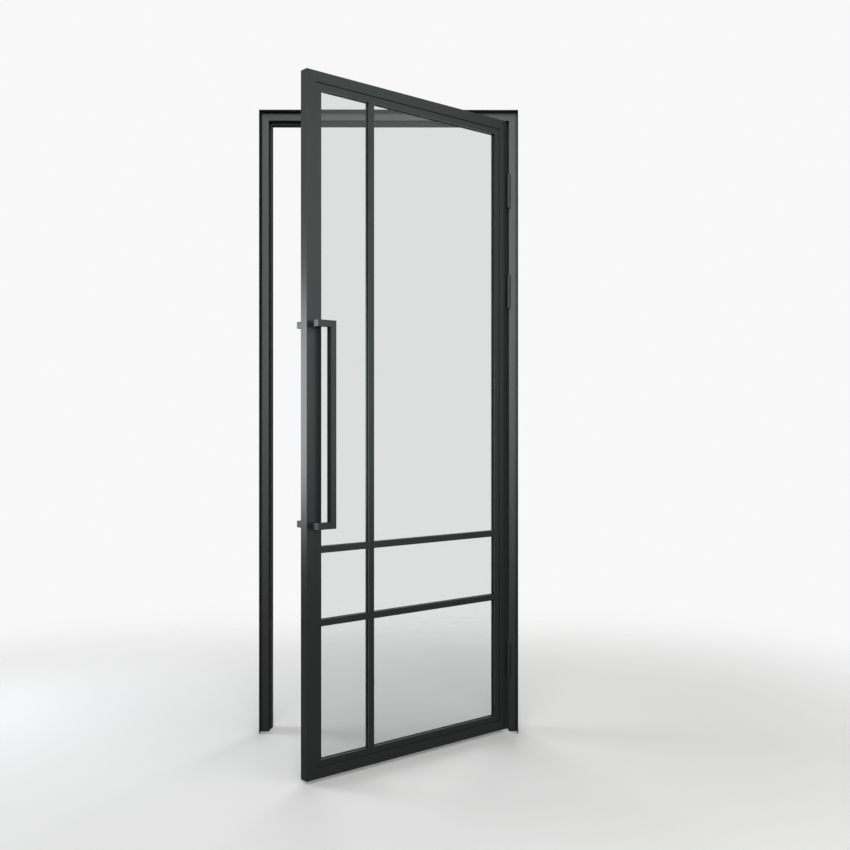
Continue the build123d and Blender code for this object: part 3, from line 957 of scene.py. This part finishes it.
class GLASSDOOR_OT_screws(DressingOperator):
    """Makes the countersunk screws of the hinge plates."""

    bl_idname = "glass_door.screws"
    bl_label = "Hinge Screws"

    def execute(self, context):
        fasteners = context.scene.glass_door.fasteners
        steel = bare_metal(
            "Screw steel", colour=(0.46, 0.46, 0.47), roughness=0.32, line_width=0.0005
        )
        tree = screw_tree()
        rows = {
            "hinge_frame_screws": Vector((-1.0, 0.0, 0.0)),
            "hinge_leaf_screws": Matrix.Rotation(open_angle, 4, "Z") @ Vector((1.0, 0.0, 0.0)),
        }
        for node, facing in rows.items():
            screws = solids_of(node)
            head_radius = (screws[0][1].z - screws[0][0].z) / 2
            seats = [self.head_centre(node, low.z, high.z, facing) for low, high in screws]
            piece = new_piece(f"{node}_finished", self.points_mesh(node, seats))
            tree.run_on(
                piece,
                {
                    "Head radius": head_radius,
                    "Head depth": head_radius - fasteners.shank_radius,
                    "Rim height": fasteners.rim_height,
                    "Shank radius": fasteners.shank_radius,
                    "Length": self.length_along(node, facing),
                    "Socket radius": fasteners.socket_width / 2,
                    "Socket depth": fasteners.socket_depth,
                    "Sides": fasteners.sides,
                    "Facing": facing.to_track_quat("Z", "Y").to_euler(),
                    "Material": steel,
                },
            )
            soften(piece.data)
            seat(piece, node)
        return {"FINISHED"}

    @staticmethod
    def points_mesh(name, points):
        """A mesh of bare points."""
        mesh = bpy.data.meshes.new(name)
        mesh.from_pydata([tuple(point) for point in points], [], [])
        return mesh

    @staticmethod
    def length_along(node, facing):
        """How long the screws of a node are along the way that they face."""
        along = [vertex.co.dot(facing) for vertex in frame["nodes"][node].data.vertices]
        return max(along) - min(along)

    @staticmethod
    def head_centre(node, low, high, facing):
        """Middle of the outer face of the screw that lies between two heights."""
        vertices = frame["nodes"][node].data.vertices
        points = [vertex.co for vertex in vertices if low <= vertex.co.z <= high]
        outermost = max(point.dot(facing) for point in points)
        rim = [point for point in points if point.dot(facing) > outermost - RIM_TOLERANCE]
        middle = Vector((0.0, 0.0, (low + high) / 2))
        across = facing.cross(Vector((0.0, 0.0, 1.0)))
        sideways = [point.dot(across) for point in rim]
        return middle + facing * outermost + across * (max(sideways) + min(sideways)) / 2


class GLASSDOOR_OT_glazing(DressingOperator):
    """Finishes the glass, its gaskets and setting blocks, and the tapes of the bars."""

    bl_idname = "glass_door.glazing"
    bl_label = "Glazing"

    def execute(self, context):
        glazing = context.scene.glass_door.glazing
        finish_nodes(("glass_pane",), clear_glass(glazing))
        gasket = rubber("Gasket rubber", glazing.gasket_colour)
        for face in FACES:
            finish_nodes((f"glazing_gasket_{face}", f"bar_tapes_{face}"), gasket)
        finish_nodes(("setting_blocks",), moulded_plastic("Block plastic", glazing.block_colour))
        return {"FINISHED"}


class GLASSDOOR_OT_seals(DressingOperator):
    """Finishes the door seals on the stops: a grey bulb, and painted shade on the leg in the
    rebate.
    """

    bl_idname = "glass_door.seals"
    bl_label = "Door Seals"

    def execute(self, context):
        glazing = context.scene.glass_door.glazing
        bulb_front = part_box("door_seal_hinge_side")[0].y
        seal = rubber("Seal rubber", glazing.seal_colour, bulb_front, glazing.leg_painted_shade)
        smooth_pieces(SEALS, seal)
        return {"FINISHED"}


class GLASSDOOR_OT_inner_metal(DressingOperator):
    """Finishes the cleats in the mitres and the plates behind the hinges."""

    bl_idname = "glass_door.inner_metal"
    bl_label = "Inner Metal"

    def execute(self, context):
        mill = bare_metal(
            "Mill aluminium",
            colour=(0.7, 0.7, 0.72),
            roughness=0.42,
            line_width=0.001,
            stretch=UP_THE_EXTRUSION,
        )
        zinc = bare_metal(
            "Zinc plated steel", colour=(0.5, 0.5, 0.5), roughness=0.4, line_width=0.004
        )
        finish_nodes(("frame_corner_cleats", "leaf_corner_cleats"), mill)
        finish_nodes(("frame_backing_plates", "leaf_backing_plates"), zinc)
        return {"FINISHED"}


def floor_finish(studio, fade_start=0.8, fade_end=3.0):
    """Pale matt floor that fades into the surroundings away from the door."""
    finish = Finish(bpy.data.materials.new("Pale floor"))
    pale = finish.add("ShaderNodeBsdfDiffuse", {"Color": (*studio.floor_colour, 1.0)})
    bounce = finish.add("ShaderNodeBsdfDiffuse", {"Color": (*studio.bounce_colour, 1.0)})
    matt = finish.by_ray(pale.outputs[0], bounce.outputs[0])
    clear = finish.add("ShaderNodeBsdfTransparent")
    here = finish.add("ShaderNodeTexCoord").outputs["Object"]
    distance = finish.add("ShaderNodeVectorMath", {0: here}, operation="LENGTH").outputs["Value"]
    faded = finish.span(distance, fade_start, fade_end, curve="SMOOTHERSTEP")
    finish.show(finish.mix(faded, matt, clear.outputs[0]))
    return finish.owner


def out_of_the_light(nodes):
    """A collection that keeps the given CAD nodes from mirroring the lamps that use it."""
    kept_out = bpy.data.collections.new("Out of the light")
    for node in nodes:
        kept_out.objects.link(frame["nodes"][node])
    for entry in kept_out.collection_objects:
        entry.light_linking.link_state = "EXCLUDE"
    return kept_out


def soft_lamp(name, place, aim, size, power):
    """A soft rectangular lamp that is aimed at a point and isn't itself seen."""
    data = bpy.data.lights.new(name, "AREA")
    data.shape = "RECTANGLE"
    data.size, data.size_y = size
    data.energy = power
    lamp = bpy.data.objects.new(name, data)
    bpy.context.scene.collection.objects.link(lamp)
    lamp.location = place
    lamp.rotation_euler = (Vector(aim) - Vector(place)).to_track_quat("-Z", "Y").to_euler()
    lamp.visible_camera = False
    return lamp


class GLASSDOOR_OT_studio(DressingOperator):
    """Lays the pale floor and sets the lamps, the surroundings and the camera."""

    bl_idname = "glass_door.studio"
    bl_label = "Studio"

    def execute(self, context):
        settings = context.scene.glass_door
        self.lay_floor(settings.studio)
        self.surround(context.scene, settings.studio)
        self.hang_lamps(settings.studio)
        self.set_camera(context.scene, settings.camera)
        context.scene.view_settings.view_transform = "Standard"
        return {"FINISHED"}

    @staticmethod
    def lay_floor(studio, radius=8.0, sides=96):
        """A round floor at the height of the frame's feet."""
        bm = bmesh.new()
        bmesh.ops.create_circle(bm, cap_ends=True, radius=radius, segments=sides)
        bmesh.ops.translate(bm, verts=bm.verts, vec=(0.0, 0.0, cad_box[0].z))
        mesh = bpy.data.meshes.new("floor")
        bm.to_mesh(mesh)
        bm.free()
        mesh.materials.append(floor_finish(studio))
        new_piece("floor", mesh)

    @staticmethod
    def surround(scene, studio):
        """Pale surroundings as they are seen, and a fill, weaker from behind and from below."""
        finish = Finish(bpy.data.worlds.new("Surroundings"))
        scene.world = finish.owner
        seen = finish.add("ShaderNodeBackground", {"Color": (*studio.surround_colour, 1.0)})
        direction = finish.add("ShaderNodeTexCoord").outputs["Generated"]
        way = finish.add("ShaderNodeSeparateXYZ", {0: direction}).outputs
        from_behind = finish.span(way["Y"], FILL_SIDE, FILL_BEHIND, 1.0, studio.fill_behind)
        from_below = finish.span(way["Z"], FILL_LOW, FILL_LEVEL, studio.fill_below, 1.0)
        strength = finish.times(finish.times(from_below, from_behind), studio.fill_strength)
        fill = finish.add(
            "ShaderNodeBackground", {"Color": (1.0, 1.0, 1.0, 1.0), "Strength": strength}
        )
        finish.show(finish.by_ray(seen.outputs[0], fill.outputs[0]), "ShaderNodeOutputWorld")

    @staticmethod
    def hang_lamps(studio):
        """Soft lamps; the glass mirrors none of them, and nothing mirrors the back panel."""
        lamps = {
            name: soft_lamp(name, place, aim, size, getattr(studio, power))
            for name, (place, aim, size, power) in LAMPS.items()
        }
        lamps["Left panel"].data.color = studio.left_colour
        lamps["Back panel"].visible_glossy = False
        kept_out = out_of_the_light(("glass_pane",))
        for lamp in lamps.values():
            lamp.light_linking.receiver_collection = kept_out

    @staticmethod
    def set_camera(scene, view):
        """Stands the camera at eye level on the pull side."""
        data = bpy.data.cameras.new("Camera")
        data.angle = view.width_of_view
        camera = bpy.data.objects.new("Camera", data)
        scene.collection.objects.link(camera)
        camera.location = view.place
        camera.rotation_euler = (math.pi / 2, 0.0, -view.turn)
        scene.camera = camera


OPERATORS = (
    GLASSDOOR_OT_frame,
    GLASSDOOR_OT_leaf,
    GLASSDOOR_OT_handles,
    GLASSDOOR_OT_hinges,
    GLASSDOOR_OT_screws,
    GLASSDOOR_OT_glazing,
    GLASSDOOR_OT_seals,
    GLASSDOOR_OT_inner_metal,
    GLASSDOOR_OT_studio,
)


class GLASSDOOR_PT_sidebar(bpy.types.Panel):
    """Lists the settings and the steps of the door's dressing."""

    bl_idname = "GLASSDOOR_PT_sidebar"
    bl_label = "Glass Door"
    bl_space_type = "VIEW_3D"
    bl_region_type = "UI"
    bl_category = "Glass Door"

    def draw(self, context):
        settings = context.scene.glass_door
        for group_name in ("coating", "glazing", "fasteners", "studio", "camera"):
            group = getattr(settings, group_name)
            box = self.layout.box()
            box.label(text=group_name.title())
            for property_name in type(group).__annotations__:
                box.prop(group, property_name)
        for operator in OPERATORS:
            self.layout.operator(operator.bl_idname)


CLASSES = (
    CoatingSettings,
    GlazingSettings,
    FastenerSettings,
    StudioSettings,
    CameraSettings,
    GlassDoorSettings,
    *OPERATORS,
    GLASSDOOR_PT_sidebar,
)


def register():
    """Registers the classes and gives each scene its settings."""
    for item in CLASSES:
        bpy.utils.register_class(item)
    bpy.types.Scene.glass_door = PointerProperty(type=GlassDoorSettings)


def unregister():
    """Takes the settings and the classes away again."""
    del bpy.types.Scene.glass_door
    for item in reversed(CLASSES):
        bpy.utils.unregister_class(item)


def main():
    """Dresses the door step by step."""
    register()
    bpy.ops.glass_door.frame()
    bpy.ops.glass_door.leaf()
    bpy.ops.glass_door.handles()
    bpy.ops.glass_door.hinges()
    bpy.ops.glass_door.screws()
    bpy.ops.glass_door.glazing()
    bpy.ops.glass_door.seals()
    bpy.ops.glass_door.inner_metal()
    bpy.ops.glass_door.studio()


if __name__ == "__main__":
    main()
